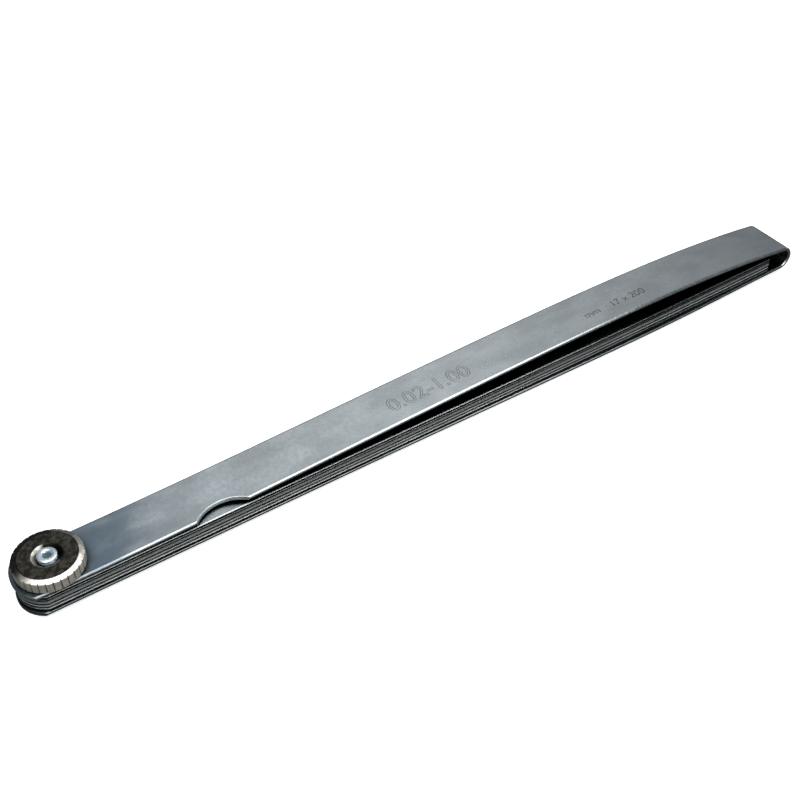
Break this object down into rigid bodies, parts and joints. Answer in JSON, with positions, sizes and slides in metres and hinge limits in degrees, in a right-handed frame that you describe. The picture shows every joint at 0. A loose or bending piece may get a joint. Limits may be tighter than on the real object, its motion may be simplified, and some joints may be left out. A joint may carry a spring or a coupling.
{
  "type": "feeler gauge",
  "caption": "Long feeler gauge: graded thin steel blades that fan out of a folded strip-steel case, clamped at the pivot by a knurled nut.",
  "frame": {"origin": "on the pivot axis at bench level, which is the flat underside of the pivot screw's head", "axes": "+X from the pivot along the closed blades to the fold of the case; +Y across the case, away from the edge with the thumb notch; +Z along the pivot screw, up through the nut"},
  "size_m": [0.208, 0.0144, 0.0112],
  "materials": {
    "case_steel": "rolled spring steel strip, satin",
    "blade_steel": "ground and polished spring steel",
    "nut_nickel": "nickel plated, straight knurl",
    "screw_zinc": "bright zinc plated"
  },
  "bodies": {
    "case": {"case_strip": "case_steel"},
    "screw": {"pivot_screw": "screw_zinc"},
    "nut": {"knurled_nut": "nut_nickel"},
    "blade_1_00": {"blade_1_00": "blade_steel"},
    "blade_0_02": {"blade_0_02": "blade_steel"},
    "blade_0_03": {"blade_0_03": "blade_steel"},
    "blade_0_04": {"blade_0_04": "blade_steel"},
    "blade_0_05": {"blade_0_05": "blade_steel"},
    "blade_0_06": {"blade_0_06": "blade_steel"},
    "blade_0_07": {"blade_0_07": "blade_steel"},
    "blade_0_08": {"blade_0_08": "blade_steel"},
    "blade_0_09": {"blade_0_09": "blade_steel"},
    "blade_0_10": {"blade_0_10": "blade_steel"},
    "blade_0_15": {"blade_0_15": "blade_steel"},
    "blade_0_20": {"blade_0_20": "blade_steel"},
    "blade_0_25": {"blade_0_25": "blade_steel"},
    "blade_0_30": {"blade_0_30": "blade_steel"},
    "blade_0_40": {"blade_0_40": "blade_steel"},
    "blade_0_50": {"blade_0_50": "blade_steel"},
    "blade_0_75": {"blade_0_75": "blade_steel"}
  },
  "joints": [
    {"name": "blade_1_00_swing", "type": "hinge", "parent": "case", "child": "blade_1_00", "pos_m": [0, 0, 0.00244], "axis": [0, 0, 1], "range_deg": [-180, 180]},
    {"name": "blade_0_02_swing", "type": "hinge", "parent": "case", "child": "blade_0_02", "pos_m": [0, 0, 0.00297], "axis": [0, 0, 1], "range_deg": [-180, 180]},
    {"name": "blade_0_03_swing", "type": "hinge", "parent": "case", "child": "blade_0_03", "pos_m": [0, 0, 0.00301], "axis": [0, 0, 1], "range_deg": [-180, 180]},
    {"name": "blade_0_04_swing", "type": "hinge", "parent": "case", "child": "blade_0_04", "pos_m": [0, 0, 0.00307], "axis": [0, 0, 1], "range_deg": [-180, 180]},
    {"name": "blade_0_05_swing", "type": "hinge", "parent": "case", "child": "blade_0_05", "pos_m": [0, 0, 0.00314], "axis": [0, 0, 1], "range_deg": [-180, 180]},
    {"name": "blade_0_06_swing", "type": "hinge", "parent": "case", "child": "blade_0_06", "pos_m": [0, 0, 0.00321], "axis": [0, 0, 1], "range_deg": [-180, 180]},
    {"name": "blade_0_07_swing", "type": "hinge", "parent": "case", "child": "blade_0_07", "pos_m": [0, 0, 0.0033], "axis": [0, 0, 1], "range_deg": [-180, 180]},
    {"name": "blade_0_08_swing", "type": "hinge", "parent": "case", "child": "blade_0_08", "pos_m": [0, 0, 0.00339], "axis": [0, 0, 1], "range_deg": [-180, 180]},
    {"name": "blade_0_09_swing", "type": "hinge", "parent": "case", "child": "blade_0_09", "pos_m": [0, 0, 0.00349], "axis": [0, 0, 1], "range_deg": [-180, 180]},
    {"name": "blade_0_10_swing", "type": "hinge", "parent": "case", "child": "blade_0_10", "pos_m": [0, 0, 0.00361], "axis": [0, 0, 1], "range_deg": [-180, 180]},
    {"name": "blade_0_15_swing", "type": "hinge", "parent": "case", "child": "blade_0_15", "pos_m": [0, 0, 0.00376], "axis": [0, 0, 1], "range_deg": [-180, 180]},
    {"name": "blade_0_20_swing", "type": "hinge", "parent": "case", "child": "blade_0_20", "pos_m": [0, 0, 0.00395], "axis": [0, 0, 1], "range_deg": [-180, 180]},
    {"name": "blade_0_25_swing", "type": "hinge", "parent": "case", "child": "blade_0_25", "pos_m": [0, 0, 0.00419], "axis": [0, 0, 1], "range_deg": [-180, 180]},
    {"name": "blade_0_30_swing", "type": "hinge", "parent": "case", "child": "blade_0_30", "pos_m": [0, 0, 0.00449], "axis": [0, 0, 1], "range_deg": [-180, 180]},
    {"name": "blade_0_40_swing", "type": "hinge", "parent": "case", "child": "blade_0_40", "pos_m": [0, 0, 0.00486], "axis": [0, 0, 1], "range_deg": [-180, 180]},
    {"name": "blade_0_50_swing", "type": "hinge", "parent": "case", "child": "blade_0_50", "pos_m": [0, 0, 0.00533], "axis": [0, 0, 1], "range_deg": [-180, 180]},
    {"name": "blade_0_75_swing", "type": "hinge", "parent": "case", "child": "blade_0_75", "pos_m": [0, 0, 0.00598], "axis": [0, 0, 1], "range_deg": [-180, 180]},
    {"name": "screw_travel", "type": "slide", "parent": "case", "child": "screw", "axis": [0, 0, 1], "range_m": [-0.0007, 0]},
    {"name": "nut_turn", "type": "hinge", "parent": "case", "child": "nut", "pos_m": [0, 0, 0.00879], "axis": [0, 0, 1], "range_deg": [0, 361]}
  ],
  "couplings": [
    {"joint": "nut_turn", "follows": "screw_travel", "rad_per_m": -8976}
  ]
}
